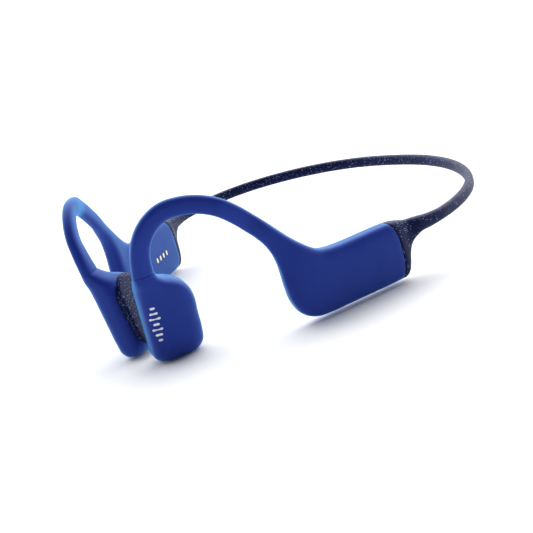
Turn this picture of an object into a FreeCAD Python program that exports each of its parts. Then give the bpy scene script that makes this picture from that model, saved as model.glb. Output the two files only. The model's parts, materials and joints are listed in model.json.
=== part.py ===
"""Bone conduction headphones: a sprung neckband, two modules, two ear hooks and two transducer pods.

Frame, in millimetres: the wearer faces -Y, +X is the wearer's left and +Z is up. The origin is on the surface
that the headphones stand on, under the middle of their box. The left side is modelled and the right side is its
mirror image, apart from what the two modules hold."""
import FreeCAD, Part
import math
import os

Vector = FreeCAD.Vector
Placement = FreeCAD.Placement
Rotation = FreeCAD.Rotation

doc = FreeCAD.newDocument("bone_conduction_headphones")
sheet = doc.addObject("Spreadsheet::Sheet", "Sizes")

SIZES = {
    # neckband
    "bandHigh": 3.8, "bandThick": 3.0, "bandCoreDia": 1.0, "bandWireDia": 0.6, "bandBoreDia": 2.0,
    "flexGap": 1.2,
    # modules
    "toeAngle": 20.0, "moduleX": 54.4, "moduleY": -1.51, "moduleLevel": 1.18, "moduleThick": 7.4,
    "moduleHigh": 19.2, "moduleRear": 2.6, "fit": 0.05,
    "housingLong": 33.0, "housingHigh": 15.8, "housingThick": 5.4, "housingWall": 0.7, "housingRound": 2.8,
    "batteryLong": 26.0, "batteryHigh": 12.8, "batteryThick": 2.4, "foamThick": 0.5,
    "guardLong": 2.4, "guardHigh": 10.0, "boardLong": 30.0, "boardHigh": 10.6, "boardThick": 0.8,
    "chipSide": 5.0, "chipThick": 0.9, "memoryLong": 7.0, "memoryHigh": 6.0,
    # charging contacts and status light
    "contactPitch": 2.54, "contactLong": 1.1, "contactHigh": 2.2, "contactDeep": 1.8, "contactFirst": 9.5,
    "contactLevel": 9.1, "carrierLong": 10.6, "carrierHigh": 4.6, "carrierThick": 0.8, "lightDia": 1.2,
    "lightHigh": 2.6,
    # buttons
    "buttonLong": 4.4, "buttonWide": 2.2, "buttonHigh": 1.6, "buttonProud": 0.35, "buttonPitch": 6.4,
    "buttonFirst": 9.0, "buttonGap": 0.12, "stemDia": 0.9, "stemHigh": 2.7, "switchLong": 2.6,
    "switchWide": 1.6, "switchHigh": 0.8, "switchLevel": 4.3, "stripLong": 26.0, "stripWide": 2.4,
    "stripThick": 0.4,
    # ear hooks
    "hookWide": 5.6, "hookThick": 3.6, "hookBoreDia": 2.0, "hookCoreDia": 0.7, "hookWireDia": 0.5,
    # pods
    "podToe": 24.0, "podLean": 8.5, "podLong": 17.4, "podThick": 9.2, "podHigh": 30.8,
    "padLong": 12.8, "padHigh": 24.0, "padThick": 1.5, "padProud": 0.8, "padGap": 0.08, "padRound": 0.55,
    # transducers
    "hollowDia": 13.4, "hollowDeep": 6.8, "driverLevel": 11.6, "frameDia": 13.0, "frameWall": 0.45,
    "frameHigh": 4.4, "plateThick": 0.5, "yokeDia": 10.4, "yokeHigh": 2.8, "yokeWall": 0.9, "magnetDia": 6.0,
    "magnetHigh": 1.1, "poleHigh": 0.6, "coilInner": 6.7, "coilOuter": 8.0, "coilHigh": 1.4, "studDia": 2.0,
    "studHigh": 0.8, "springDia": 12.0, "springThick": 0.2, "springHole": 2.8, "terminalLong": 7.0,
    "terminalHigh": 5.0, "terminalThick": 0.6,
}
for row, (alias, value) in enumerate(SIZES.items(), start=1):
    sheet.set(f"A{row}", alias)
    sheet.set(f"B{row}", str(value))
    sheet.setAlias(f"B{row}", alias)
doc.recompute()


def size(alias):
    return float(sheet.get(alias))


# ---- frames of a module and of a pod: X forward along the piece, Y outward through it, Z up
moduleFrame = Placement(Vector(size("moduleX"), size("moduleY"), size("moduleLevel")),
                        Rotation(Vector(0, 0, 1), -90 - size("toeAngle")))
POD_FOOT = Vector(8.3, -61.36, 0.33)
podFrame = Placement(POD_FOOT, Rotation(Vector(0, 0, 1), -90 - size("podToe")).multiply(
    Rotation(Vector(1, 0, 0), -size("podLean"))))

# ---- paths through the middle of the pieces, in the frame of the whole object
BORE_START = [(53.2, -4.76, 15.18), (55.3, 0.24, 15.58)]
BAND_SIDE = [(57.2, 4.64, 15.68), (59.9, 13.04, 15.58), (59.9, 23.54, 15.48), (53.9, 42.54, 15.38), (40.4, 57.94, 15.28),
             (21.9, 67.94, 15.18)]
BAND_REAR = [(0, 70.94, 15.18)]
FLEX_POINT = Vector(33.0, 62.64, 15.28)
HOOK_ARCH = [(36.4, -43.82, 36.38), (32.6, -50.76, 43.98), (26.0, -57.56, 47.98), (20.6, -64.16, 47.18),
             (16.4, -68.46, 41.48)]
ARCH_TOE = 40.0


# ---- small helpers
def label(thing, name):
    thing.Label = name
    return thing


def feature(name, shape):
    """A sub-part whose lofted shape is worked out here."""
    thing = doc.addObject("Part::Feature", name)
    thing.Shape = shape
    return label(thing, name)


def mirrored(name, source):
    thing = doc.addObject("Part::Mirroring", name)
    thing.Source = source
    thing.Base = Vector(0, 0, 0)
    thing.Normal = Vector(1, 0, 0)
    return label(thing, name)


def box(name, frame, corner, length, width, height):
    """A box with sizes bound to the sheet and its low corner at a place in the frame."""
    thing = doc.addObject("Part::Box", name)
    thing.setExpression("Length", length)
    thing.setExpression("Width", width)
    thing.setExpression("Height", height)
    thing.Placement = frame.multiply(Placement(Vector(*corner), Rotation()))
    return label(thing, name)


def cylinder(name, frame, base, axis, diameter, height):
    """A cylinder with sizes bound to the sheet, its base centre and its axis given in the frame."""
    thing = doc.addObject("Part::Cylinder", name)
    thing.setExpression("Radius", f"({diameter}) / 2")
    thing.setExpression("Height", height)
    thing.Placement = frame.multiply(Placement(Vector(*base), Rotation(Vector(0, 0, 1), Vector(*axis))))
    return label(thing, name)


def boolean(kind, name, base, tool):
    thing = doc.addObject("Part::" + kind, name)
    thing.Base = base
    thing.Tool = tool
    return label(thing, name)


def cut(name, base, *tools):
    """Base with every tool taken away, in turn."""
    for count, tool in enumerate(tools, start=1):
        base = boolean("Cut", name if count == len(tools) else f"{name}_less_{count}", base, tool)
    return base


def fuse(name, base, *tools):
    for count, tool in enumerate(tools, start=1):
        base = boolean("Fuse", name if count == len(tools) else f"{name}_with_{count}", base, tool)
    return base


def group(name, things):
    """Identical pieces that share one node."""
    thing = doc.addObject("Part::Compound", name)
    thing.Links = things
    return label(thing, name)


def rounded(name, base, radius, chosen):
    """Fillets those edges of base that are chosen."""
    doc.recompute()
    thing = doc.addObject("Part::Fillet", name)
    thing.Base = base
    thing.Edges = [(i, radius, radius) for i, edge in enumerate(base.Shape.Edges, start=1) if chosen(edge)]
    return label(thing, name)


def edgesAlong(frame, axis):
    """Picks the straight edges that run along an axis of the frame."""
    direction = frame.Rotation.multVec(Vector(*axis))

    def chosen(edge):
        if edge.Curve.TypeId != "Part::GeomLine":
            return False
        return abs(edge.tangentAt(edge.FirstParameter).dot(direction)) > 0.999
    return chosen


def edgesAtLevel(frame, axis, level):
    """Picks the edges whose middle lies at a level along an axis of the frame."""
    inverse = frame.inverse()
    index = axis.index(1)

    def chosen(edge):
        return abs(inverse.multVec(edge.CenterOfMass)[index] - level) < 0.01
    return chosen


# ---- lofted shapes
SECTION_POINTS = 32
FINE_POINTS = 640


def section(centre, across, out, halfAcross, halfOut, power):
    """Points evenly spaced round a rounded section, the last one being the first again."""
    fine = []
    for k in range(FINE_POINTS + 1):
        turn = 2 * math.pi * (k % FINE_POINTS) / FINE_POINTS
        u = halfAcross * math.copysign(abs(math.cos(turn)) ** (2 / power), math.cos(turn))
        v = halfOut * math.copysign(abs(math.sin(turn)) ** (2 / power), math.sin(turn))
        fine.append((u, v))
    lengths = [0.0]
    for here, there in zip(fine, fine[1:]):
        lengths.append(lengths[-1] + math.dist(here, there))
    points, at = [], 0
    for k in range(SECTION_POINTS):
        while lengths[at] < lengths[-1] * k / SECTION_POINTS:
            at += 1
        u, v = fine[at]
        points.append(centre + across * u + out * v)
    return points + points[:1]


def loft(sections):
    """A solid skinned smoothly over the sections, with flat ends."""
    surface = Part.BSplineSurface()
    surface.interpolate(sections)
    ends = [Part.Face(Part.Wire([surface.uIso(at).toShape()])) for at in (surface.bounds()[0], surface.bounds()[1])]
    shell = Part.Shell([surface.toShape(), *ends])
    shell.sewShape()
    solid = Part.Solid(shell)
    if solid.Volume < 0:
        solid.reverse()
    return solid


def smooth(points):
    curve = Part.BSplineCurve()
    curve.interpolate([Vector(*p) for p in points])
    return curve


def between(first, last, count):
    """Evenly spaced values from first to last."""
    return [first + (last - first) * k / (count - 1) for k in range(count)]


def rod(curve, first, last, diameter, aside=Vector(0, 0, 0)):
    """A round rod along a curve between two of its parameters, moved aside by a vector."""
    spine = curve.toShape(first, last)
    spine.translate(aside)
    circle = Part.makeCircle(diameter / 2, curve.value(first) + aside, Vector(*curve.tangent(first)[0]))
    pipe = Part.BRepOffsetAPI.MakePipeShell(Part.Wire([spine]))
    pipe.setFrenetMode(False)
    pipe.add(Part.Wire([circle]))
    pipe.build()
    pipe.makeSolid()
    return pipe.shape()


def axes(frame):
    """The frame's forward, outward and upward directions."""
    return [frame.Rotation.multVec(Vector(*axis)) for axis in ((1, 0, 0), (0, 1, 0), (0, 0, 1))]


# ---- neckband
def acrossX(point):
    return (-point[0], point[1], point[2])


bandCurve = smooth(BORE_START + BAND_SIDE + BAND_REAR + [acrossX(p) for p in reversed(BORE_START + BAND_SIDE)])
flexAt = bandCurve.parameter(FLEX_POINT)
armEnd = bandCurve.parameterAtDistance(-size("flexGap") / 2, flexAt)
rearStart = bandCurve.parameterAtDistance(size("flexGap") / 2, flexAt)
rearEnd = bandCurve.parameter(Vector(*acrossX(bandCurve.value(rearStart))))
CORE_ASIDE = Vector(0, 0, 0.4)
WIRE_ASIDE = Vector(0, 0, -0.6)


def bandSection(at, grow=1.0):
    direction = Vector(*bandCurve.tangent(at)[0])
    up = Vector(0, 0, 1)
    out = direction.cross(up).normalize()
    return section(bandCurve.value(at), up, out, size("bandHigh") / 2 * grow, size("bandThick") / 2 * grow, 2.8)


def inward(at, distance):
    return bandCurve.parameterAtDistance(distance, at)


def makeNeckband():
    """The rear run of the band between its two flex places."""
    wires = [bandSection(at) for at in between(rearStart, rearEnd, 13)]
    jacket = feature("neckband_jacket_solid", loft(wires))
    bore = feature("neckband_bore", rod(bandCurve, inward(rearStart, -1), inward(rearEnd, 1),
                                        size("bandBoreDia")))
    return [cut("neckband_jacket", jacket, bore),
            feature("neckband_core_wire", rod(bandCurve, rearStart, rearEnd, size("bandCoreDia"), CORE_ASIDE)),
            feature("neckband_signal_wires", rod(bandCurve, rearStart, rearEnd, size("bandWireDia"),
                                                 WIRE_ASIDE))]


def collarSections():
    """Sections of the flared collar: forward place, low, high, half thickness and squareness."""
    half = size("moduleThick") / 2
    rear = size("moduleRear") - size("fit")
    forward, out, up = axes(moduleFrame)
    wires = []
    for place, low, high, halfOut, power in [(rear, 0.2, 19.0, half - 0.15, 4.4), (0.6, 0.2, 18.8, half - 0.2, 4.2),
                                             (-0.9, 1.3, 18.5, half - 0.7, 3.8), (-2.4, 5.2, 18.1, half - 1.2, 3.3),
                                             (-4.4, 9.0, 17.5, half - 1.6, 3.0)]:
        centre = moduleFrame.multVec(Vector(place, 0, (low + high) / 2))
        wires.append(section(centre, up, out, (high - low) / 2, halfOut, power))
    return wires


def makeBandSide():
    """The side run of the band, from the flex place to the collar that closes the module."""
    sideStart = bandCurve.parameter(Vector(*BAND_SIDE[0]))
    wires = collarSections()
    wires += [bandSection(inward(sideStart, 1.2), 1.42), bandSection(inward(sideStart, 6), 1.1)]
    wires += [bandSection(at) for at in between(inward(sideStart, 11), armEnd, 10)]
    jacket = feature("left_band_jacket_solid", loft(wires))
    start = bandCurve.FirstParameter
    bore = feature("left_band_bore", rod(bandCurve, start, inward(armEnd, 1), size("bandBoreDia")))
    core = rod(bandCurve, inward(start, 3.2), armEnd, size("bandCoreDia"), CORE_ASIDE)
    wire = rod(bandCurve, inward(start, 2.6), armEnd, size("bandWireDia"), WIRE_ASIDE)
    return [cut("left_band_jacket", jacket, bore), feature("left_band_core_wire", core),
            feature("left_band_signal_wires", wire)]


# ---- the skin over a module and its ear hook: one loft that fans round the module's front lower corner
FAN = [  # upper point and lower point (forward, up), middle's place outward, half thickness, squareness, twist
    ((2.6, 19.1), (2.6, 0.1), 0.0, 3.6, 4.2, 0), ((7.4, 19.2), (7.4, 0.0), 0.0, 3.7, 4.2, 0),
    ((12.4, 19.2), (12.6, 0.0), 0.0, 3.7, 4.2, 0), ((17.0, 19.2), (18.0, 0.0), 0.0, 3.7, 4.2, 0),
    ((21.0, 19.3), (23.6, 0.0), 0.0, 3.7, 4.2, 0), ((24.2, 19.6), (29.2, 0.0), 0.0, 3.7, 4.1, 0),
    ((26.6, 20.1), (34.4, 0.6), 0.0, 3.65, 3.9, 1), ((28.4, 20.9), (38.3, 3.0), 0.0, 3.55, 3.7, 3),
    ((29.8, 21.9), (40.5, 7.6), -0.1, 3.4, 3.5, 5), ((31.1, 23.0), (41.1, 13.0), -0.2, 3.2, 3.3, 7),
    ((32.6, 24.4), (41.2, 18.2), -0.4, 3.0, 3.1, 10), ((34.6, 26.4), (41.7, 22.6), -0.7, 2.75, 2.9, 13),
    ((37.0, 29.2), (43.0, 26.6), -1.1, 2.45, 2.7, 17), ((40.2, 33.2), (45.4, 30.6), -1.6, 2.15, 2.5, 20)]


def fanSections():
    forward, out, up = axes(moduleFrame)
    wires = []
    for high, low, outward, halfOut, power, twist in FAN:
        centre = moduleFrame.multVec(Vector((high[0] + low[0]) / 2, outward, (high[1] + low[1]) / 2))
        half = math.hypot(high[0] - low[0], high[1] - low[1]) / 2
        lean = (forward * (high[0] - low[0]) + up * (high[1] - low[1])).normalize()
        turn = Rotation(Vector(0, 0, 1), -twist)
        wires.append(section(centre, turn.multVec(lean), turn.multVec(out), half, halfOut, power))
    return wires


podForward, podOut, podUp = axes(podFrame)
SEAM_TOP = podFrame.multVec(Vector(5.65, 2.4, size("podHigh") + 0.06))
hookStart = moduleFrame.multVec(Vector(31.0, 0, 14.5))
hookRise = [moduleFrame.multVec(Vector(*p)) for p in ((34.6, -0.3, 21.0), (38.4, -0.9, 26.6), (42.6, -1.6, 32.0))]
hookPast = SEAM_TOP - podUp * 1.5
hookCurve = smooth([tuple(p) for p in (hookStart, *hookRise, *HOOK_ARCH, SEAM_TOP, hookPast)])
hookFirst = hookCurve.parameter(Vector(*HOOK_ARCH[0]))
hookLast = hookCurve.parameter(SEAM_TOP)
WIRE_SHIFT = 0.45


def hookSections():
    """Sections of the ear hook, from above the module to the seam with the pod."""
    wires = []
    for at in between(hookFirst, hookLast, 10)[:-1]:
        share = (at - hookFirst) / (hookLast - hookFirst)
        toe = math.radians(ARCH_TOE + (size("podToe") - ARCH_TOE) * share ** 2)
        guess = Vector(math.cos(toe), -math.sin(toe), 0)
        direction = Vector(*hookCurve.tangent(at)[0])
        out = (guess - direction * guess.dot(direction)).normalize()
        wires.append(section(hookCurve.value(at), direction.cross(out), out, size("hookWide") / 2,
                             size("hookThick") / 2, 2.7))
    wires.append(section(SEAM_TOP, podForward, podOut, 2.75, 2.1, 2.3))
    return wires


def makeArmSkin():
    """The soft skin, hollowed for the module's housing and bored for the hook's wires."""
    solid = feature("left_arm_skin_solid", loft(fanSections() + hookSections()))
    bore = feature("left_hook_bore", rod(hookCurve, hookCurve.FirstParameter, hookCurve.LastParameter,
                                         size("hookBoreDia")))
    return cut("left_arm_skin", solid, housingBlock("left_pocket", size("fit")), bore)


def makeHookWires():
    toe = math.radians(ARCH_TOE)
    aside = Vector(math.cos(toe), -math.sin(toe), 0) * WIRE_SHIFT
    first = hookCurve.parameterAtDistance(4.6, hookCurve.FirstParameter)
    last = hookCurve.parameterAtDistance(-0.4, hookLast)
    return [feature("left_hook_core_wire", rod(hookCurve, first, last, size("hookCoreDia"), aside)),
            feature("left_hook_signal_wires", rod(hookCurve, first, last, size("hookWireDia"), aside * -1))]


# ---- module housing
HOUSING_FIRST = 2.75
HOUSING_LOW = 1.7


def housingBlock(name, grow):
    """The housing's outer shape, grown all round by a fit."""
    length, width, high = [size(alias) + 2 * grow for alias in ("housingLong", "housingThick", "housingHigh")]
    corner = Vector(HOUSING_FIRST - grow, -width / 2, HOUSING_LOW - grow)
    block = Part.makeBox(length, width, high, corner)
    across = [e for e in block.Edges if abs(e.tangentAt(0).y) > 0.9]
    block = block.makeFillet(size("housingRound"), across)
    rims = [e for e in block.Edges if abs(abs(e.CenterOfMass.y) - width / 2) < 0.01]
    block = block.makeFillet(0.6, rims)
    block.Placement = moduleFrame
    return feature(name, block)


def housingHollow(name):
    wall = size("housingWall")
    sizes = [size(alias) - 2 * wall for alias in ("housingLong", "housingThick", "housingHigh")]
    block = Part.makeBox(*sizes, Vector(HOUSING_FIRST + wall, -sizes[1] / 2, HOUSING_LOW + wall))
    block = block.makeFillet(size("housingRound") - wall, [e for e in block.Edges if abs(e.tangentAt(0).y) > 0.9])
    block.Placement = moduleFrame
    return feature(name, block)


def makeHousing():
    """Two half shells that meet on the module's middle plane."""
    halves = []
    bandFirst, hookFirstAt = bandCurve.FirstParameter, hookCurve.FirstParameter
    for name, start in (("outer", -10.0), ("inner", 0.0)):
        away = Part.makeBox(60, 10, 40, Vector(-10, start, -10))
        away.Placement = moduleFrame
        bandMouth = rod(bandCurve, bandFirst, inward(bandFirst, 3), size("bandBoreDia"))
        hookMouth = rod(hookCurve, hookFirstAt, hookCurve.parameterAtDistance(7, hookFirstAt), size("hookBoreDia"))
        halves.append(cut(f"left_module_{name}_shell", housingBlock(f"left_{name}_block", 0),
                          housingHollow(f"left_{name}_hollow"), feature(f"left_{name}_away", away),
                          feature(f"left_{name}_band_mouth", bandMouth),
                          feature(f"left_{name}_hook_mouth", hookMouth)))
    return halves


# ---- pod
POD_SECTIONS = [  # up, rear, front, inner, outer, squareness
    (0.0, -5.4, 4.9, -1.7, 2.2, 2.3), (0.7, -7.0, 6.9, -3.1, 3.5, 2.7), (2.6, -8.2, 8.3, -4.2, 4.3, 3.0),
    (6.5, -8.7, 8.7, -4.6, 4.6, 3.2), (12.0, -8.7, 8.7, -4.6, 4.6, 3.2), (18.5, -8.5, 8.7, -4.6, 4.6, 3.2),
    (21.5, -7.1, 8.7, -4.6, 4.6, 3.2), (24.3, -4.3, 8.7, -4.6, 4.6, 3.0), (26.8, -0.7, 8.6, -3.5, 4.6, 2.8),
    (28.9, 1.9, 8.5, -1.3, 4.6, 2.6), (30.8, 2.9, 8.4, 0.3, 4.5, 2.3)]


def podSolid():
    wires = []
    for up, rear, front, inner, outer, power in POD_SECTIONS:
        centre = podFrame.multVec(Vector((rear + front) / 2, (inner + outer) / 2, up))
        wires.append(section(centre, podForward, podOut, (front - rear) / 2, (outer - inner) / 2, power))
    return loft(wires)


PAD_CENTRE = (1.2, 14.1)


def padBlock(name, grow, inner, outer):
    """A long round-ended block through the inner face of the pod."""
    length, high = size("padLong") + 2 * grow, size("padHigh") + 2 * grow
    corner = Vector(PAD_CENTRE[0] - length / 2, inner, PAD_CENTRE[1] - high / 2)
    block = Part.makeBox(length, outer - inner, high, corner)
    block = block.makeFillet(length / 2 - 0.05, [e for e in block.Edges if abs(e.tangentAt(0).y) > 0.9])
    block.Placement = podFrame
    return feature(name, block)


def makePod():
    """The pod's skin with its round hollow for the transducer, and the pad set into its inner face."""
    face = -size("podThick") / 2
    depth = size("padThick") - size("padProud")
    hollow = cylinder("left_pod_hollow", podFrame, (0, -size("hollowDeep") / 2, size("driverLevel")), (0, 1, 0),
                      "Sizes.hollowDia", "Sizes.hollowDeep")
    recess = padBlock("left_pad_recess", size("padGap"), face - 3, face + depth + size("padGap"))
    wayIn = podFrame.multVec(Vector(0.5, 0.6, size("driverLevel") + 5.5))
    passage = Part.makeCylinder(size("hookBoreDia") / 2, (SEAM_TOP - wayIn).Length, wayIn, SEAM_TOP - wayIn)
    skin = cut("left_pod_skin", feature("left_pod_solid", podSolid()), hollow, recess,
               feature("left_pod_passage", passage))
    pad = padBlock("left_pad_block", 0, face - size("padProud"), face + depth)
    return [skin, rounded("left_contact_pad", pad, size("padRound"),
                          edgesAtLevel(podFrame, (0, 1, 0), face - size("padProud")))]


# ---- transducer, stacked outward along the pod's Y
PLATE_LEVEL = -3.35


def disc(name, level, diameter, height, forward=0.0):
    return cylinder(name, podFrame, (forward, level, size("driverLevel")), (0, 1, 0), diameter, height)


def ring(name, level, outer, inner, height):
    return cut(name, disc(name + "_disc", level, outer, height), disc(name + "_middle", level, inner, height))


def makeTransducer():
    plate, coil = size("plateThick"), PLATE_LEVEL + size("plateThick")
    frame = fuse("left_transducer_frame", disc("left_frame_plate", PLATE_LEVEL, "Sizes.frameDia", "Sizes.plateThick"),
                 ring("left_frame_ring", coil, "Sizes.frameDia", "Sizes.frameDia - 2 * Sizes.frameWall",
                      "Sizes.frameHigh"))
    voiceCoil = ring("left_voice_coil", coil, "Sizes.coilOuter", "Sizes.coilInner", "Sizes.coilHigh")
    rim = PLATE_LEVEL + plate + 0.65
    crown = rim + size("yokeHigh")
    floor = crown - size("yokeWall")
    cup = cut("left_yoke_cup", disc("left_yoke_solid", rim, "Sizes.yokeDia", "Sizes.yokeHigh"),
              disc("left_yoke_hollow", rim, "Sizes.yokeDia - 2 * Sizes.yokeWall", "Sizes.yokeHigh - Sizes.yokeWall"))
    yoke = fuse("left_transducer_yoke", cup, disc("left_yoke_stud", crown, "Sizes.studDia", "Sizes.studHigh"))
    magnet = disc("left_transducer_magnet", floor - size("magnetHigh"), "Sizes.magnetDia", "Sizes.magnetHigh")
    pole = disc("left_transducer_pole", floor - size("magnetHigh") - size("poleHigh"), "Sizes.magnetDia",
                "Sizes.poleHigh")
    spring = ring("left_suspension_spring", crown + 0.3, "Sizes.springDia", "Sizes.springHole", "Sizes.springThick")
    low = (-size("terminalLong") / 2, crown + 1.15, size("driverLevel") - size("terminalHigh") / 2)
    terminals = box("left_terminal_board", podFrame, low, "Sizes.terminalLong", "Sizes.terminalThick",
                    "Sizes.terminalHigh")
    return [frame, voiceCoil, yoke, magnet, pole, spring, terminals]


# ---- what the left module holds
def makeBattery():
    low = HOUSING_LOW + (size("housingHigh") - size("batteryHigh")) / 2
    thick = size("batteryThick")
    cell = box("battery_block", moduleFrame, (7.2, -thick / 2, low), "Sizes.batteryLong", "Sizes.batteryThick",
               "Sizes.batteryHigh")
    foam = box("battery_foam", moduleFrame, (8.2, thick / 2, low + 1), "Sizes.batteryLong - 2", "Sizes.foamThick",
               "Sizes.batteryHigh - 2")
    guard = box("protection_board", moduleFrame, (4.2, -size("boardThick") / 2, low + 1.4), "Sizes.guardLong",
                "Sizes.boardThick", "Sizes.guardHigh")
    return [rounded("battery_cell", cell, 0.8, edgesAlong(moduleFrame, (1, 0, 0))), foam, guard]


# ---- what the right module holds, modelled on the left and mirrored
def makeBoard():
    level = size("switchLevel") + size("switchHigh") + size("stripThick") + 0.1
    half = size("boardThick") / 2
    board = box("board_left", moduleFrame, (4.2, -half, level), "Sizes.boardLong", "Sizes.boardThick",
                "Sizes.boardHigh")
    processor = box("processor_left", moduleFrame, (18.0, half, level + 3.2), "Sizes.chipSide", "Sizes.chipThick",
                    "Sizes.chipSide")
    memory = box("memory_left", moduleFrame, (25.4, half, level + 2.2), "Sizes.memoryLong", "Sizes.chipThick",
                 "Sizes.memoryHigh")
    return [mirrored("main_board", board), mirrored("processor_chip", processor), mirrored("memory_chip", memory)]


def makeContacts():
    """The four charging contacts with their carrier, and the holes they need."""
    pins, holes = [], []
    depth = size("moduleThick") / 2 + 0.05
    for k in range(4):
        place = size("contactFirst") + k * size("contactPitch")
        for things, grow, word in ((pins, 0.0, "pin"), (holes, size("fit"), "hole")):
            low = (place - size("contactLong") / 2 - grow, -depth, size("contactLevel") - size("contactHigh") / 2 - grow)
            block = box(f"contact_{word}_block_{k + 1}", moduleFrame, low, f"Sizes.contactLong + {2 * grow}",
                        "Sizes.contactDeep", f"Sizes.contactHigh + {2 * grow}")
            radius = size("contactLong") / 2 - 0.08 + grow
            things.append(rounded(f"contact_{word}_{k + 1}", block, radius, edgesAlong(moduleFrame, (0, 1, 0))))
    middle = size("contactFirst") + 1.5 * size("contactPitch")
    low = (middle - size("carrierLong") / 2, size("contactDeep") - depth,
           size("contactLevel") - size("carrierHigh") / 2)
    carrier = box("carrier_left", moduleFrame, low, "Sizes.carrierLong", "Sizes.carrierThick", "Sizes.carrierHigh")
    return [mirrored("charging_contacts", group("contacts_left", pins)), mirrored("contact_carrier", carrier)], holes


BUTTONS = ("play", "mode", "volume_down", "volume_up")


def makeButtons():
    """Four buttons on the module's underside, with a stem each up to its switch."""
    buttons, openings, switches = [], [], []
    for k, name in enumerate(BUTTONS):
        place = size("buttonFirst") + k * size("buttonPitch")
        low = (place - size("buttonLong") / 2, -size("buttonWide") / 2, -size("buttonProud"))
        cap = rounded(f"{name}_cap", box(f"{name}_block", moduleFrame, low, "Sizes.buttonLong", "Sizes.buttonWide",
                                         "Sizes.buttonHigh"), 0.9, edgesAlong(moduleFrame, (0, 0, 1)))
        stem = cylinder(f"{name}_stem", moduleFrame, (place, 0, size("buttonHigh") - size("buttonProud") - 0.1),
                        (0, 0, 1), "Sizes.stemDia", "Sizes.stemHigh")
        buttons.append(mirrored(f"button_{name}", fuse(f"{name}_left", cap, stem)))
        gap = size("buttonGap")
        wide = box(f"{name}_opening_block", moduleFrame, (low[0] - gap, low[1] - gap, -1.0),
                   "Sizes.buttonLong + 2 * Sizes.buttonGap", "Sizes.buttonWide + 2 * Sizes.buttonGap", "2.66 mm")
        narrow = cylinder(f"{name}_stem_hole", moduleFrame, (place, 0, -1.0), (0, 0, 1),
                          "Sizes.stemDia + 2 * Sizes.buttonGap", "4.0 mm")
        openings.append((rounded(f"{name}_opening", wide, 0.9 + gap, edgesAlong(moduleFrame, (0, 0, 1))), narrow))
        low = (place - size("switchLong") / 2, -size("switchWide") / 2, size("switchLevel"))
        switches.append(box(f"{name}_switch", moduleFrame, low, "Sizes.switchLong", "Sizes.switchWide",
                            "Sizes.switchHigh"))
    low = (size("buttonFirst") + 1.5 * size("buttonPitch") - size("stripLong") / 2, -size("stripWide") / 2,
           size("switchLevel") + size("switchHigh"))
    strip = box("strip_left", moduleFrame, low, "Sizes.stripLong", "Sizes.stripWide", "Sizes.stripThick")
    inside = [mirrored("tactile_switches", group("switches_left", switches)), mirrored("switch_board", strip)]
    return buttons, openings, inside


def makeLight():
    place = (4.9, 0, -0.0)
    pipe = cylinder("light_left", moduleFrame, place, (0, 0, 1), "Sizes.lightDia", "Sizes.lightHigh")
    hole = cylinder("light_hole_left", moduleFrame, (4.9, 0, -1.0), (0, 0, 1), "Sizes.lightDia + 2 * Sizes.fit",
                    "5.0 mm")
    return mirrored("status_light_pipe", pipe), hole


# ---- the whole object
leftArm = [*makeBandSide(), makeArmSkin(), *makeHookWires(), *makeHousing(), *makePod(), *makeTransducer()]
battery = makeBattery()
rightInside = makeBoard()
contactPieces, contactHoles = makeContacts()
buttonPieces, buttonOpenings, buttonInside = makeButtons()
light, lightHole = makeLight()

rightArm = []
for piece in leftArm:
    name = piece.Label.replace("left_", "right_")
    if name == "right_arm_skin":
        tools = contactHoles + [wide for wide, narrow in buttonOpenings] + [lightHole]
        piece = cut("right_arm_skin_left", piece, *tools)
    elif name == "right_module_inner_shell":
        piece = cut("inner_shell_left", piece, *contactHoles, *[narrow for wide, narrow in buttonOpenings], lightHole)
    elif name == "right_module_outer_shell":
        piece = cut("outer_shell_left", piece, *[narrow for wide, narrow in buttonOpenings], lightHole)
    rightArm.append(mirrored(name, piece))

pieces = [*makeNeckband(), *leftArm, *battery, *rightArm, *rightInside, *contactPieces, *buttonPieces,
          *buttonInside, light]
doc.recompute()

for thing in doc.Objects:
    if "Invalid" in thing.State or "Error" in thing.State:
        raise RuntimeError(f"{thing.Name} did not build: {thing.State}")
os.makedirs("parts", exist_ok=True)
for piece in pieces:
    if piece.Shape.isNull() or not piece.Shape.isValid() or not piece.Shape.Solids:
        raise RuntimeError(f"{piece.Label} is not a sound solid")
    piece.Shape.exportStep(f"parts/{piece.Label}.step")
print(len(pieces), "pieces written; flex place", bandCurve.value(flexAt))
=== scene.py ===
import json
import math

import bpy
import numpy as np
from mathutils import Matrix, Vector


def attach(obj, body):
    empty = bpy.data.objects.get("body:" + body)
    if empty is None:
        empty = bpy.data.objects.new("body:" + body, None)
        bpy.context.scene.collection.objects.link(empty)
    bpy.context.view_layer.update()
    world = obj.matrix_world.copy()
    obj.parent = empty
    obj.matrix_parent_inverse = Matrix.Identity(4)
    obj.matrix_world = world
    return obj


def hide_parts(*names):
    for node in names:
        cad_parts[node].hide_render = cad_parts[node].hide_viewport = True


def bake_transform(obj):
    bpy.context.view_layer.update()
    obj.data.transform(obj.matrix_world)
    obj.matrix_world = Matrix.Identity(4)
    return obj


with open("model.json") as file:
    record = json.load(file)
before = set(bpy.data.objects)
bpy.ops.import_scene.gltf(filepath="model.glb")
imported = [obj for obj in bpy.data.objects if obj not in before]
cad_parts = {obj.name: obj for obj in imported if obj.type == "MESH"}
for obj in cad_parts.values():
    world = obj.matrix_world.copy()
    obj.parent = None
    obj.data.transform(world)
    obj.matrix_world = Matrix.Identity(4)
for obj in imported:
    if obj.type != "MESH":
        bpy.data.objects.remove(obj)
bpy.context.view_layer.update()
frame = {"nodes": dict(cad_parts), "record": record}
print("frame loaded:", len(frame["nodes"]), "nodes")

mm = 0.001


def fromHex(code):
    channels = [int(code[i:i + 2], 16) / 255 for i in (1, 3, 5)]
    return [c / 12.92 if c <= 0.04045 else ((c + 0.055) / 1.055) ** 2.4 for c in channels] + [1.0]


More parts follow.
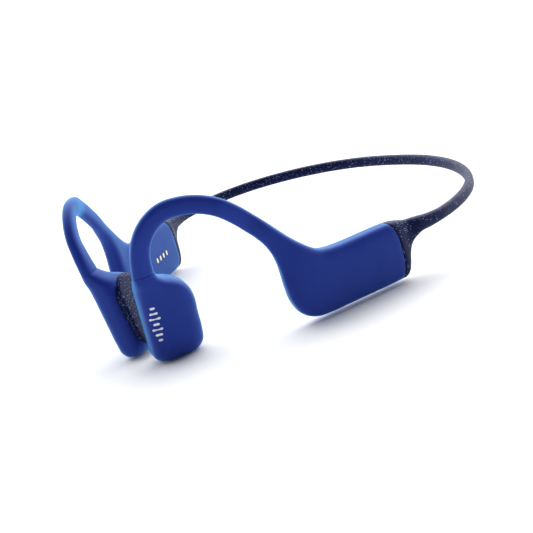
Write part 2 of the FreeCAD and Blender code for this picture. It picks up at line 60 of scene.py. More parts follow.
def addNode(tree, kind, settings=None, links=None):
    # settings go to properties or input sockets, links are {input: (node, output)}
    node = tree.nodes.new(kind)
    for key, value in (settings or {}).items():
        if isinstance(key, str) and hasattr(node, key):
            setattr(node, key, value)
        else:
            node.inputs[key].default_value = value
    for key, (source, output) in (links or {}).items():
        tree.links.new(source.outputs[output], node.inputs[key])
    return node


def sideFrame(x, y, z, toe, lean):
    # forward along the piece, outward through it and up it, for the wearer's left side
    turn = Matrix.Rotation(math.radians(-90 - toe), 4, "Z") @ Matrix.Rotation(math.radians(-lean), 4, "X")
    return Matrix.Translation((x, y, z)) @ turn


def smoothRows(rows, count):
    # evenly spaced rows on a smooth curve through the given ones, by distance in the first three columns
    rows = np.array(rows, float)
    run = np.concatenate([[0], np.cumsum(np.linalg.norm(np.diff(rows[:, :3], axis=0), axis=1))])
    slopes = np.gradient(rows, run, axis=0)
    made = []
    for at in np.linspace(0, run[-1], count):
        i = min(int(np.searchsorted(run, at, side="right")) - 1, len(rows) - 2)
        gap = run[i + 1] - run[i]
        t = (at - run[i]) / gap
        made.append((2 * t ** 3 - 3 * t ** 2 + 1) * rows[i] + (t ** 3 - 2 * t ** 2 + t) * gap * slopes[i]
                    + (3 * t ** 2 - 2 * t ** 3) * rows[i + 1] + (t ** 3 - t ** 2) * gap * slopes[i + 1])
    return np.array(made)


def ringPoints(power, count):
    # evenly spaced points round a superellipse of half size 1 by 1
    turn = np.linspace(0, 2 * math.pi, 1441)
    u = np.sign(np.cos(turn)) * np.abs(np.cos(turn)) ** (2 / power)
    v = np.sign(np.sin(turn)) * np.abs(np.sin(turn)) ** (2 / power)
    run = np.concatenate([[0], np.cumsum(np.hypot(np.diff(u), np.diff(v)))])
    places = np.linspace(0, run[-1], count, endpoint=False)
    return np.stack([np.interp(places, run, u), np.interp(places, run, v)], 1)


def ringAround(centre, across, out, halfAcross, halfOut, power, count):
    points = ringPoints(power, count)
    centre, across, out = Vector(centre), Vector(across), Vector(out)
    return [centre + across * (u * halfAcross) + out * (v * halfOut) for u, v in points]


def newPiece(name, verts, faces, material):
    mesh = bpy.data.meshes.new(name)
    mesh.from_pydata(verts, [], faces)
    mesh.shade_smooth()
    mesh.materials.append(material)
    piece = bpy.data.objects.new(name, mesh)
    bpy.context.scene.collection.objects.link(piece)
    return piece


def meshFromRings(name, rings, material, mirror=False, capStart=True, capEnd=True):
    # a skin over the rings; ends are closed by fans
    count = len(rings[0])
    verts = [p for ring in rings for p in ring]
    faces = []
    for i in range(len(rings) - 1):
        for k in range(count):
            a, b = i * count + k, i * count + (k + 1) % count
            faces.append((a, b, b + count, a + count))
    for wanted, start in ((capStart, 0), (capEnd, (len(rings) - 1) * count)):
        if wanted:
            middle = len(verts)
            verts.append(sum((Vector(v) for v in verts[start:start + count]), Vector()) / count)
            for k in range(count):
                a, b = start + k, start + (k + 1) % count
                faces.append((b, a, middle) if start == 0 else (a, b, middle))
    if mirror:
        verts = [Vector((-v[0], v[1], v[2])) for v in verts]
    piece = newPiece(name, [tuple(Vector(v) * mm) for v in verts], faces, material)
    piece.data.validate()
    bpy.context.view_layer.objects.active = piece
    piece.select_set(True)
    bpy.ops.object.mode_set(mode="EDIT")
    bpy.ops.mesh.select_all(action="SELECT")
    bpy.ops.mesh.normals_make_consistent(inside=False)
    bpy.ops.object.mode_set(mode="OBJECT")
    piece.select_set(False)
    return piece


def newMaterial(name):
    material = bpy.data.materials.new(name)
    material.use_nodes = True
    tree = material.node_tree
    shader = tree.nodes["Principled BSDF"]
    return material, tree, shader


def setShader(shader, **values):
    for name, value in values.items():
        shader.inputs[name.replace("_", " ")].default_value = value


def finishSurface(tree, shader, colour, grain, roughness, strength, bumpMm):
    # the colour, with roughness and bump both taken from the grain
    rough = addNode(tree, "ShaderNodeMapRange", {"From Min": 0.3, "From Max": 0.7, "To Min": roughness[0],
                                                 "To Max": roughness[1]}, {"Value": (grain, "Fac")})
    bump = addNode(tree, "ShaderNodeBump", {"Strength": strength, "Distance": bumpMm * mm},
                   {"Height": (grain, "Fac")})
    tree.links.new(colour.outputs[2], shader.inputs["Base Color"])
    tree.links.new(rough.outputs["Result"], shader.inputs["Roughness"])
    tree.links.new(bump.outputs["Normal"], shader.inputs["Normal"])


silicone = {"blue": "#213395", "deep": "#1f2c83", "sheen": "#4cc0ff", "tint": "#8ab4ff", "grainMm": 0.35,
            "driftMm": 9.0}


def mouldedBlueSilicone():
    # liquid silicone rubber from a satin mould: deep even colour, wide highlight, pale bloom at the edges
    material, tree, shader = newMaterial("blue silicone rubber, satin moulded")
    place = addNode(tree, "ShaderNodeTexCoord")
    drift = addNode(tree, "ShaderNodeTexNoise", {"Scale": 1 / (silicone["driftMm"] * mm), "Detail": 2.0},
                    {"Vector": (place, "Object")})
    colour = addNode(tree, "ShaderNodeMix", {"data_type": "RGBA", 6: fromHex(silicone["blue"]),
                                             7: fromHex(silicone["deep"])}, {"Factor": (drift, "Fac")})
    grain = addNode(tree, "ShaderNodeTexNoise", {"Scale": 1 / (silicone["grainMm"] * mm), "Detail": 3.0},
                    {"Vector": (place, "Object")})
    finishSurface(tree, shader, colour, grain, (0.42, 0.52), 0.12, 0.02)
    setShader(shader, IOR=1.41, Specular_Tint=fromHex(silicone["tint"]), Sheen_Weight=1.0,
              Sheen_Roughness=0.4, Sheen_Tint=fromHex(silicone["sheen"]))
    return material


speckled = {"navy": "#13173f", "deep": "#0f1234", "speck": "#8fa4d8", "speckMm": 0.48, "sheen": "#8fa6cc",
            "tint": "#6a86cc", "grainMm": 0.3}


def speckledSilicone():
    # silicone with pale flakes mixed in before moulding: dark navy with fine light specks
    # the specks are drawn a little coarser than the real ones, so that they show
    material, tree, shader = newMaterial("speckled navy silicone, flakes moulded in")
    place = addNode(tree, "ShaderNodeTexCoord")
    cellScale = 1 / (speckled["speckMm"] * mm)
    cells = addNode(tree, "ShaderNodeTexVoronoi", {"Scale": cellScale, "Randomness": 1.0},
                    {"Vector": (place, "Object")})
    chosen = addNode(tree, "ShaderNodeSeparateColor", {}, {"Color": (cells, "Color")})
    reach = addNode(tree, "ShaderNodeMapRange", {"From Min": 0.45, "From Max": 1.0, "To Min": 0.05,
                                                 "To Max": 0.38}, {"Value": (chosen, "Red")})
    inside = addNode(tree, "ShaderNodeMath", {"operation": "SUBTRACT"},
                     {0: (reach, "Result"), 1: (cells, "Distance")})
    speck = addNode(tree, "ShaderNodeMapRange", {"From Min": -0.02, "From Max": 0.06, "To Min": 0.0,
                                                 "To Max": 0.85}, {"Value": (inside, "Value")})
    grain = addNode(tree, "ShaderNodeTexNoise", {"Scale": 1 / (speckled["grainMm"] * mm), "Detail": 3.0},
                    {"Vector": (place, "Object")})
    ground = addNode(tree, "ShaderNodeMix", {"data_type": "RGBA", 6: fromHex(speckled["navy"]),
                                             7: fromHex(speckled["deep"])}, {"Factor": (grain, "Fac")})
    colour = addNode(tree, "ShaderNodeMix", {"data_type": "RGBA", 7: fromHex(speckled["speck"])},
                     {"Factor": (speck, "Result"), 6: (ground, 2)})
    finishSurface(tree, shader, colour, grain, (0.45, 0.58), 0.15, 0.02)
    setShader(shader, IOR=1.41, Specular_Tint=fromHex(speckled["tint"]), Sheen_Weight=0.06,
              Sheen_Roughness=0.3, Sheen_Tint=fromHex(speckled["sheen"]))
    return material


def plainFinish(name, colour, other, scaleMm, roughness, metallic=0.0, bumpMm=0.01, ior=1.5):
    # a base colour that drifts to a second one, with roughness and bump from the same fine noise
    material, tree, shader = newMaterial(name)
    place = addNode(tree, "ShaderNodeTexCoord")
    noise = addNode(tree, "ShaderNodeTexNoise", {"Scale": 1 / (scaleMm * mm), "Detail": 4.0},
                    {"Vector": (place, "Object")})
    mixed = addNode(tree, "ShaderNodeMix", {"data_type": "RGBA", 6: fromHex(colour), 7: fromHex(other)},
                    {"Factor": (noise, "Fac")})
    finishSurface(tree, shader, mixed, noise, (roughness - 0.06, roughness + 0.06), 0.3, bumpMm)
    setShader(shader, Metallic=metallic)
    if metallic == 0.0:
        setShader(shader, IOR=ior)
    return material


blueSilicone = mouldedBlueSilicone()
navySilicone = speckledSilicone()
goldPlate = plainFinish("gold plated brass, barrel polished", "#f4eed2", "#e9dfb6", 0.5, 0.32, 1.0, 0.003)
printWhite = plainFinish("white pad print ink", "#f2f3f6", "#e4e7ee", 0.3, 0.55, 0.0, 0.004)
# painted shade: this one flat dark colour stands in for the shade in the narrow gaps round the charging
# contacts and round the buttons
seamShadow = plainFinish("dark paint for seam shade", "#15183a", "#101228", 0.4, 0.6)
finishes = {  # one for each of the record's slots that a carried-over part uses
    "titanium": plainFinish("titanium wire, drawn", "#a9a6a0", "#96938e", 0.4, 0.35, 1.0),
    "wire_sleeve": plainFinish("black wire sleeve, extruded", "#1c1c1e", "#262629", 0.5, 0.5),
    "housing_plastic": plainFinish("black polycarbonate, spark eroded",
                                   "#1a1a20", "#24242b", 0.3, 0.5, 0.0, 0.02),
    "circuit_board": plainFinish("green solder mask, screen printed", "#1d5a35", "#164a2b", 1.5, 0.4),
    "chip_resin": plainFinish("black epoxy resin, transfer moulded",
                              "#1b1b1b", "#262626", 0.2, 0.6, 0.0, 0.01),
    "gold_plate": goldPlate,
    "switch_metal": plainFinish("stainless steel, stamped", "#b9bbbd", "#a4a6a9", 0.6, 0.3, 1.0),
    "magnet_plate": plainFinish("nickel plate, barrel plated", "#c3bfb4", "#aba79d", 0.8, 0.22, 1.0),
    "soft_iron": plainFinish("soft iron, turned and passivated", "#84858a", "#717278", 0.5, 0.42, 1.0),
    "copper_coil": plainFinish("enamelled copper wire, wound", "#b3622f", "#8f4a22", 0.12, 0.35, 1.0, 0.03),
    "spring_steel": plainFinish("spring steel sheet, etched", "#b4b5b8", "#9fa1a5", 0.4, 0.3, 1.0),
    "battery_wrap": plainFinish("laminated aluminium pouch, pressed",
                                "#c6c8cb", "#b3b6ba", 2.0, 0.35, 1.0, 0.05),
    "foam": plainFinish("black polyurethane foam, skived", "#1d1d1f", "#2b2b2e", 0.5, 0.9, 0.0, 0.1),
    "light_pipe": plainFinish("clear polycarbonate light pipe, moulded",
                              "#dfe6ea", "#cfd8de", 0.5, 0.2, 0.0, 0.004),
    "blue_silicone": blueSilicone,
    "speckled_silicone": navySilicone,
}
slotOf = {entry["node"]: entry["material_slot"] for entry in frame["record"]["subparts"]}
for name, node in frame["nodes"].items():
    node.data.materials.clear()
    node.data.materials.append(finishes[slotOf[name]])
print("materials made")

sides = {"left": False, "right": True}


module = {"place": (54.4, -1.51, 1.18), "toe": 20.0, "ringCount": 88, "steps": 150, "borderArc": 1.9,
          "borderReach": 7.0, "borderBevel": 0.3, "seamBevel": 0.12}
moduleFrame = sideFrame(*module["place"], module["toe"], 0.0)
pod = {"place": (8.3, -61.36, 0.33), "toe": 24.0, "lean": 8.5, "high": 30.8,
       "footRounding": ((1.6, -0.18), (0.7, -0.08))}  # inset and drop of the rings under the foot
podFrame = sideFrame(*pod["place"], pod["toe"], pod["lean"])
# forward, outward and up along each of them
moduleAxes, podAxes = [[column.copy() for column in place.to_3x3().col]
                       for place in (moduleFrame, podFrame)]

moduleFan = [  # upper point and lower point (forward, up), outward, half thickness, squareness, twist
    (2.65, 19.1, 2.65, 0.1, 0.0, 3.6, 4.2, 0), (7.4, 19.2, 7.4, 0.0, 0.0, 3.7, 4.2, 0),
    (12.4, 19.2, 12.6, 0.0, 0.0, 3.7, 4.2, 0), (17.0, 19.2, 18.0, 0.0, 0.0, 3.7, 4.2, 0),
    (21.0, 19.3, 23.6, 0.0, 0.0, 3.7, 4.2, 0), (24.2, 19.6, 29.2, 0.0, 0.0, 3.7, 4.1, 0),
    (26.6, 20.1, 34.4, 0.6, 0.0, 3.65, 3.9, 1), (28.4, 20.9, 38.3, 3.0, 0.0, 3.55, 3.7, 3),
    (29.8, 21.9, 40.5, 7.6, -0.1, 3.4, 3.5, 5), (31.1, 23.0, 41.1, 13.0, -0.2, 3.2, 3.3, 7),
    (32.6, 24.4, 41.2, 18.2, -0.4, 3.0, 3.1, 10), (34.6, 26.4, 41.7, 22.6, -0.7, 2.75, 2.9, 13),
    (37.0, 29.2, 43.0, 26.6, -1.1, 2.45, 2.7, 17), (40.2, 33.2, 45.4, 30.6, -1.6, 2.15, 2.5, 20)]
hook = {"arch": [(36.4, -43.82, 36.9), (32.6, -50.76, 44.6), (26.0, -57.56, 47.98), (20.6, -64.16, 47.18),
                 (16.4, -68.46, 41.48)], "toe": 40.0, "halfWide": 2.8, "halfThick": 1.8, "squareness": 2.7,
        "rise": [(38.4, -0.9, 26.6), (42.6, -1.6, 32.0)], "seam": (5.35, 2.8), "widening": (0.45, 0.3),
        "seamSection": (3.45, 2.2, 2.4)}


def stationRow(centre, across, out, halfAcross, halfOut, power):
    return [*centre, *across, *out, halfAcross, halfOut, power]


def moduleStations():
    forward, out, up = moduleAxes
    rows = []
    for highF, highU, lowF, lowU, outward, halfOut, power, twist in moduleFan:
        centre = moduleFrame @ Vector(((highF + lowF) / 2, outward, (highU + lowU) / 2))
        lean = forward * (highF - lowF) + up * (highU - lowU)
        turn = Matrix.Rotation(math.radians(-twist), 3, "Z")
        rows.append(stationRow(centre, turn @ lean.normalized(), turn @ out, lean.length / 2, halfOut,
                               power))
    return rows


seamPlace = podFrame @ Vector((*hook["seam"], pod["high"] + 0.05))


def hookStations():
    points = [moduleFrame @ Vector(p) for p in hook["rise"]]
    points += [Vector(p) for p in hook["arch"]] + [seamPlace, seamPlace - podAxes[2] * 3]
    path = smoothRows([tuple(p) for p in points], 600)
    first, last = [int(np.argmin(np.linalg.norm(path - np.array(p), axis=1)))
                   for p in (hook["arch"][0], seamPlace)]
    rows = []
    picks = [first + (last - first) * k // 9 for k in range(9)]
    for pick in picks:
        centre = Vector(path[pick])
        direction = (Vector(path[pick + 1]) - Vector(path[pick - 1])).normalized()
        share = (pick - first) / (last - first)
        toe = math.radians(hook["toe"] + (pod["toe"] - hook["toe"]) * share ** 2)
        guess = Vector((math.cos(toe), -math.sin(toe), 0))
        out = (guess - direction * guess.dot(direction)).normalized()
        wider, thicker = [grow * share ** 3 for grow in hook["widening"]]  # towards the pod
        rows.append(stationRow(centre, direction.cross(out), out, hook["halfWide"] + wider,
                               hook["halfThick"] + thicker, hook["squareness"]))
    rows.append(stationRow(seamPlace, podAxes[0], podAxes[1], *hook["seamSection"]))
    return rows


def ringsFromRows(rows, count):
    rings = []
    for row in rows:
        across, out = Vector(row[3:6]).normalized(), Vector(row[6:9]).normalized()
        rings.append(ringAround(row[0:3], across, out, row[9], row[10], row[11], count))
    return rings


def shrinkRing(ring, amount, along, shift):
    # a copy of the ring drawn in towards its middle and moved along, for a rounded edge
    middle = sum(ring, Vector()) / len(ring)
    return [p + (middle - p).normalized() * amount + along * shift for p in ring]


def roundedEdge(ring, bevel, along, inset=0.3):
    # three rings that round off an end, from the end itself to where the bevel is over
    return [shrinkRing(ring, bevel, along, 0.0), shrinkRing(ring, bevel * inset, along, bevel * 0.3),
            [p + along * bevel for p in ring]]


def borderShift(point):
    # how far rearward the blue reaches at this height, so that the border with the collar bows
    local = moduleFrame.inverted() @ point
    height = (local.z - 9.3) / 9.8
    return -module["borderArc"] * max(0.0, 1 - abs(height) ** 2.6)


def bowBorder(rings):
    # bends the rings near the border, less and less with their distance from it
    forward = moduleAxes[0]
    bent = []
    for ring in rings:
        made = []
        for p in ring:
            local = moduleFrame.inverted() @ p
            away = abs(local.x - 2.6) / module["borderReach"]
            made.append(p + forward * (borderShift(p) * max(0.0, 1 - away) ** 1.6))
        bent.append(made)
    return bent


def buildArmSkin(side, mirror):
    rows = smoothRows(moduleStations() + hookStations(), module["steps"])
    rings = bowBorder(ringsFromRows(rows, module["ringCount"]))
    forward = moduleAxes[0]
    bevel, start = module["borderBevel"], rings[0]
    rings = roundedEdge(start, bevel, forward) + rings[2:]
    rings = rings[:-1] + list(reversed(roundedEdge(rings[-1], module["seamBevel"], podAxes[2], 0.35)))
    skin = meshFromRings(f"{side}_arm_silicone", rings, blueSilicone, mirror)
    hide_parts(f"{side}_arm_skin")
    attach(skin, f"{side}_arm")


podRows = [  # up, rear, front, inner, outer, squareness
    (0.0, -5.4, 5.2, -1.7, 2.5, 2.3), (0.3, -6.3, 6.3, -2.5, 3.3, 2.5), (0.9, -7.15, 7.5, -3.3, 4.1, 2.7),
    (2.6, -8.2, 8.6, -4.2, 4.9, 3.0), (6.5, -8.7, 8.8, -4.6, 5.3, 3.2), (12.0, -8.7, 8.8, -4.6, 5.3, 3.2),
    (18.5, -8.6, 8.8, -4.6, 5.3, 3.2), (21.5, -7.7, 8.8, -4.6, 5.3, 3.1), (24.0, -5.9, 8.8, -4.6, 5.3, 3.0),
    (25.8, -3.4, 8.8, -4.2, 5.3, 2.8), (27.2, -0.8, 8.8, -3.0, 5.3, 2.7), (28.9, 1.1, 8.8, -1.2, 5.25, 2.6),
    (30.8, 1.9, 8.8, 0.6, 5.0, 2.4)]
podShape = smoothRows(podRows, 110)


def podSurface(forward, up, face):
    # how far outward the pod's outer face (1) or inner face (-1) is at a place on it
    rear, front, inner, outer, power = [np.interp(up, podShape[:, 0], podShape[:, k]) for k in range(1, 6)]
    share = abs(forward - (rear + front) / 2) / ((front - rear) / 2)
    return (inner + outer) / 2 + face * (outer - inner) / 2 * max(0.0, 1 - share ** power) ** (1 / power)


def buildPodSkin(side, mirror):
    rings = []
    for up, rear, front, inner, outer, power in podShape:
        centre = podFrame @ Vector(((rear + front) / 2, (inner + outer) / 2, up))
        rings.append(ringAround(centre, podAxes[0], podAxes[1], (front - rear) / 2, (outer - inner) / 2,
                                power, module["ringCount"]))
    foot = rings[0]
    rounding = [shrinkRing(foot, inset, podAxes[2], drop) for inset, drop in pod["footRounding"]]
    rings = rounding + rings
    rings = rings[:-1] + list(reversed(roundedEdge(rings[-1], module["seamBevel"], -podAxes[2], 0.35)))
    skin = meshFromRings(f"{side}_pod_silicone", rings, blueSilicone, mirror)
    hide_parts(f"{side}_pod_skin")
    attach(skin, f"{side}_arm")


pad = {"centre": (1.2, 14.1), "long": 12.8, "high": 24.0, "face": -4.6, "proud": 0.8, "crown": 0.35,
       "edge": 0.75, "sunk": 0.2}


def stadium(halfLong, halfHigh, count):
    # points round an upright shape with round ends
    straight = halfHigh - halfLong
    points = []
    for k in range(count):
        turn = 2 * math.pi * k / count
        high = halfLong * math.sin(turn)
        points.append((halfLong * math.cos(turn), high + (straight if math.sin(turn) >= 0 else -straight)))
    return points


def buildPad(side, mirror):
    halfLong, halfHigh, edge = pad["long"] / 2, pad["high"] / 2, pad["edge"]
    profile = [(edge * (1 - math.cos(a)), -pad["proud"] + edge * (1 - math.sin(a)))
               for a in np.linspace(0, math.pi / 2, 7)]
    profile += [(halfLong * share, -pad["proud"] - pad["crown"] * (1 - (1 - share) ** 2))
                for share in (0.2, 0.3, 0.4, 0.55, 0.7, 0.85, 0.95)]
    outline = [(pad["centre"][0] + f, pad["centre"][1] + u) for f, u in stadium(halfLong, halfHigh, 96)]
    # the skirt reaches a little into the pod
    rings = [[podFrame @ Vector((f, podSurface(f, u, -1) + pad["sunk"], u)) for f, u in outline]]
    for inset, level in profile:
        ring = []
        for f, u in stadium(max(halfLong - inset, 0.05), halfHigh - inset, 96):
            place = Vector((pad["centre"][0] + f, pad["face"] + level, pad["centre"][1] + u))
            ring.append(podFrame @ place)
        rings.append(ring)
    piece = meshFromRings(f"{side}_speckled_pad", rings, navySilicone, mirror)
    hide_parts(f"{side}_contact_pad")
    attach(piece, f"{side}_arm")


# a plain printed row of bars of different lengths on each pod
mark = {"centre": (5.9, 14.6), "bars": (1.3, 2.2, 3.2, 1.9, 3.4, 2.5, 1.5), "pitch": 1.83, "wide": 0.8,
        "lift": 0.03}


def buildMark(side, mirror):
    verts, faces = [], []
    for k, tall in enumerate(mark["bars"]):
        up = mark["centre"][1] + (k - 3) * mark["pitch"]
        start = len(verts)
        outline = []
        for j in range(24):
            turn = 2 * math.pi * j / 24
            half = tall / 2 - mark["wide"] / 2
            f = mark["wide"] / 2 * math.cos(turn) + math.copysign(half, math.cos(turn))
            outline.append((mark["centre"][0] + f, up + mark["wide"] / 2 * math.sin(turn)))
        for share in (1.0, 0.6, 0.2):
            for f, u in outline:
                f = mark["centre"][0] + (f - mark["centre"][0]) * share
                u = up + (u - up) * share
                verts.append(podFrame @ Vector((f, podSurface(f, u, 1) + mark["lift"], u)))
        for level in range(2):
            for j in range(24):
                a, b = start + level * 24 + j, start + level * 24 + (j + 1) % 24
                faces.append((a, b, b + 24, a + 24))
        faces.append(tuple(start + 48 + j for j in range(24)))
    if mirror:
        verts = [Vector((-v.x, v.y, v.z)) for v in verts]
        faces = [tuple(reversed(f)) for f in faces]
    piece = newPiece(f"{side}_printed_bars", [tuple(v * mm) for v in verts], faces, printWhite)
    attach(piece, f"{side}_arm")


band = {"side": [(57.2, 4.64, 15.68), (59.9, 13.04, 15.58), (59.9, 23.54, 15.48), (53.9, 42.54, 15.38),
                 (40.4, 57.94, 15.28), (21.9, 67.94, 15.18), (0, 70.94, 15.18), (-21.9, 67.94, 15.18)],
        "halfHigh": 1.9, "halfThick": 1.5, "squareness": 2.8, "ringCount": 72, "steps": 130, "even": 16.0,
        "swell": [(1.2, 1.45), (6.0, 1.17), (11.0, 1.03)],  # growth at distances from the collar, then even
        "bend": Vector((16.8, -9.9, 0))}  # half of the stretch that bends when an arm opens
collar = [  # forward place, low, high, half thickness, squareness
    (2.55, 0.15, 19.05, 3.57, 4.2), (0.9, 0.2, 18.85, 3.5, 4.2), (-0.9, 1.3, 18.5, 3.0, 3.8),
    (-2.4, 5.2, 18.1, 2.5, 3.3), (-4.4, 9.0, 17.5, 2.1, 3.0)]


def bandPath():
    # the band's middle line from the module to the middle of the back, and the distance between its points
    path = smoothRows(band["side"], 2001)
    last = int(np.argmin(np.abs(path[:, 0])))
    return path[:last + 1], float(np.linalg.norm(path[1] - path[0]))


def bendWithBand(piece):
    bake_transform(piece)


def buildBandWire(side, mirror, kind, radius, lift):
    path, step = bandPath()
    rings = []
    for pick in np.linspace(3.2 / step, len(path) - 2, 110):
        place = Vector(path[round(pick)])
        direction = (Vector(path[round(pick) + 1]) - Vector(path[round(pick) - 1])).normalized()
        outward = direction.cross(Vector((0, 0, 1))).normalized()
        rings.append(ringAround(place + Vector((0, 0, lift)), (0, 0, 1), outward, radius, radius, 2.0, 24))
    slot = "titanium" if kind == "core_wire" else "wire_sleeve"
    piece = meshFromRings(f"{side}_band_{kind}_run", rings, finishes[slot], mirror)
    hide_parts(f"neckband_{kind}", f"{side}_band_{kind}")
    bendWithBand(piece)


def bandStations():
    forward, out, up = moduleAxes
    rows = []
    for place, low, high, halfOut, power in collar:
        centre = moduleFrame @ Vector((place, 0, (low + high) / 2))
        rows.append(stationRow(centre, up, out, (high - low) / 2, halfOut, power))
    path, step = bandPath()
    picks = [(round(away / step), grow) for away, grow in band["swell"]]
    picks += [(round(k), 1.0) for k in np.linspace(band["even"] / step, len(path) - 2, 15)]
    for pick, grow in picks:
        direction = Vector(path[pick + 1]) - Vector(path[pick - 1])
        outward = direction.normalized().cross(Vector((0, 0, 1))).normalized()
        rows.append(stationRow(Vector(path[pick]), Vector((0, 0, 1)), outward, band["halfHigh"] * grow,
                               band["halfThick"] * grow, band["squareness"]))
    rows[-1] = stationRow(Vector(band["side"][6]), Vector((0, 0, 1)), Vector((0, 1, 0)), band["halfHigh"],
                          band["halfThick"], band["squareness"])
    return rows


def buildBand(side, mirror):
    rows = smoothRows(bandStations(), band["steps"])
    rings = bowBorder(ringsFromRows(rows, band["ringCount"]))
    forward = moduleAxes[0]
    bevel, start = module["borderBevel"], rings[0]
    rings = roundedEdge(start, bevel, -forward) + rings[1:]
    piece = meshFromRings(f"{side}_band_silicone", rings, navySilicone, mirror, capEnd=False)
    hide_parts("neckband_jacket", f"{side}_band_jacket")
    bendWithBand(piece)


for side, mirror in sides.items():
    buildArmSkin(side, mirror)
    buildPodSkin(side, mirror)
    buildPad(side, mirror)
    buildMark(side, mirror)
    buildBand(side, mirror)
    buildBandWire(side, mirror, "core_wire", 0.5, 0.4)
    buildBandWire(side, mirror, "signal_wires", 0.3, -0.6)
print("silicone pieces made")


contact = {"first": 9.5, "pitch": 2.54, "level": 9.1, "halfLong": 0.5, "halfHigh": 0.92, "proud": 0.08,
           "wall": -3.7, "shade_ring": 0.22}
button = {"names": ("play", "mode", "volume_down", "volume_up"), "first": 9.0, "pitch": 6.4,
          "halfLong": 2.2, "halfWide": 1.1, "proud": 0.35, "gap": 0.24}


def buildContacts():
    for k in range(4):
        f = contact["first"] + k * contact["pitch"]
        # the seat rings are painted shade: a dark ring a little larger than each contact stands in for the
        # shade in the gap round it; the face is the gold contact itself
        for name, grow, level, lift, material in (("shade_ring", contact["shade_ring"], 0.02, 0.02, seamShadow),
                                                  ("face", 0.0, contact["proud"], 0.06, goldPlate)):
            rings = []
            halfLong, halfHigh = contact["halfLong"] + grow, contact["halfHigh"] + grow
            for inset, rise in ((0.0, -0.3), (0.0, level - lift), (0.08, level - 0.01), (0.2, level),
                                (0.4, level + 0.01)):
                rings.append([moduleFrame @ Vector((f + a, contact["wall"] - rise, contact["level"] + b))
                              for a, b in stadium(halfLong - inset, halfHigh - inset, 40)])
            piece = meshFromRings(f"charging_contact_{name}_{k + 1}", rings, material, True)
            if name == "face" and k == 0:
                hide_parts("charging_contacts")
            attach(piece, "right_arm")


def buildButtons():
    for k, name in enumerate(button["names"]):
        f = button["first"] + k * button["pitch"]
        rings = []
        for inset, drop in ((0.0, -0.6), (0.0, 0.12), (0.06, 0.24), (0.18, 0.32), (0.4, button["proud"]),
                            (0.8, button["proud"] + 0.02)):
            rings.append([moduleFrame @ Vector((f + b, a, -drop))
                          for a, b in stadium(button["halfWide"] - inset, button["halfLong"] - inset, 48)])
        cap = meshFromRings(f"{name}_button_cap", rings, blueSilicone, True)
        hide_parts(f"button_{name}")
        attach(cap, f"button_{name}_body")
        # the surround is painted shade: a dark ring in the gap round each cap stands in for the shade there
        halfWide, halfLong = button["halfWide"] + button["gap"], button["halfLong"] + button["gap"]
        rings = []
        for inset, drop in ((0.0, -0.5), (0.0, -0.02), (0.06, 0.03), (0.16, 0.03), (0.2, -0.02),
                            (0.2, -0.5)):
            rings.append([moduleFrame @ Vector((f + b, a, -drop))
                          for a, b in stadium(halfWide - inset, halfLong - inset, 48)])
        ring = meshFromRings(f"{name}_button_gap_shade", rings, seamShadow, True, False, False)
        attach(ring, "right_arm")


buildContacts()
buildButtons()
print("contacts and buttons made")


studio = {"floorSize": 6.0, "floorColour": "#f7f8fa", "world": 3.2, "top": 20.0, "rear": 0.5,
          "ramp": ((0.02, 0.4), (0.3, 1.0), (0.46, 1.0), (0.56, 0.5), (0.66, 0.1), (0.8, 0.01)),
          "darkSide": (0.69, -0.65, 0.31)}  # the ramp runs from the far side of the sky to this side


def buildFloor():
    half = studio["floorSize"] / 2
    corners = [(-half, -half, 0), (half, -half, 0), (half, half, 0), (-half, half, 0)]
    paper = plainFinish("white seamless paper", studio["floorColour"], "#f4f5f8", 3.0, 0.9)
    floor = newPiece("studio_floor", corners, [(0, 1, 2, 3)], paper)
    floor.location.z = -0.05 * mm


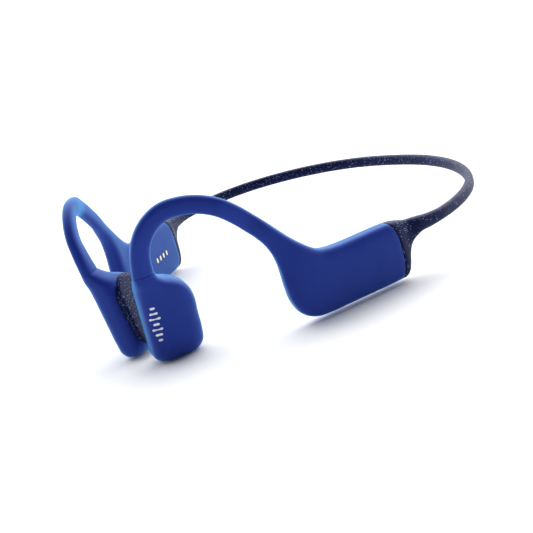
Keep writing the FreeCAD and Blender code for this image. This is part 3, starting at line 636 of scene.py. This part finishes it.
def buildWorld():
    world = bpy.data.worlds.new("soft white studio")
    bpy.context.scene.world = world
    world.use_nodes = True
    tree = world.node_tree
    place = addNode(tree, "ShaderNodeTexCoord")
    dark = Vector(studio["darkSide"]).normalized()
    facing = addNode(tree, "ShaderNodeVectorMath", {"operation": "DOT_PRODUCT", 1: tuple(dark)},
                     {0: (place, "Generated")})
    spread = addNode(tree, "ShaderNodeMapRange", {"From Min": -1.0, "From Max": 1.0},
                     {"Value": (facing, "Value")})
    ramp = addNode(tree, "ShaderNodeValToRGB", {}, {"Fac": (spread, "Result")})
    stops = ramp.color_ramp.elements
    for at, level in studio["ramp"]:
        stop = stops.new(at)
        stop.color = (level, level, level, 1)
    stops.remove(stops[0])
    stops.remove(stops[-1])
    strength = addNode(tree, "ShaderNodeMath", {"operation": "MULTIPLY", 1: studio["world"]},
                       {0: (ramp, "Color")})
    background = tree.nodes["Background"]
    background.inputs["Color"].default_value = (1, 1, 1, 1)
    tree.links.new(strength.outputs["Value"], background.inputs["Strength"])


def addArea(name, place, target, size, power):
    light = bpy.data.lights.new(name, "AREA")
    light.shape = "SQUARE"
    light.size = size
    light.energy = power
    lamp = bpy.data.objects.new(name, light)
    lamp.location = place
    lamp.rotation_euler = (Vector(target) - Vector(place)).to_track_quat("-Z", "Y").to_euler()
    bpy.context.scene.collection.objects.link(lamp)


# from the wearer's front left and a little above, rolled clockwise; degrees and mm
view = {"azimuth": 46.6, "elevation": 18.4, "roll": 16.0, "place": (299.5, -289.16, 138.98), "lens": 85.02,
        "shift": (-0.010694, 0.014259)}


def buildCamera():
    azimuth, elevation, roll = [math.radians(view[key]) for key in ("azimuth", "elevation", "roll")]
    towards = Vector((math.sin(azimuth) * math.cos(elevation), -math.cos(azimuth) * math.cos(elevation),
                      math.sin(elevation)))
    right = Vector((math.cos(azimuth), math.sin(azimuth), 0))
    up = towards.cross(right)
    turn = Matrix.Rotation(-roll, 3, towards)
    right, up = turn @ right, turn @ up
    camera = bpy.data.objects.new("camera", bpy.data.cameras.new("camera"))
    bpy.context.scene.collection.objects.link(camera)
    spot = Vector(view["place"]) * mm
    camera.matrix_world = Matrix.Translation(spot) @ Matrix((right, up, towards)).transposed().to_4x4()
    camera.data.lens = view["lens"]
    camera.data.sensor_width = 36
    camera.data.shift_x, camera.data.shift_y = view["shift"]
    camera.data.clip_start = 0.01
    bpy.context.scene.camera = camera


buildFloor()
buildWorld()
addArea("top softbox", (-0.3, 0.6, 3.0), (0, 0, 0), 4.0, studio["top"])
addArea("rear softbox", (-0.5, 0.7, 0.35), (0, 0, 0.02), 0.7, studio["rear"])
buildCamera()
bpy.context.scene.view_settings.view_transform = "Standard"
print("studio made")
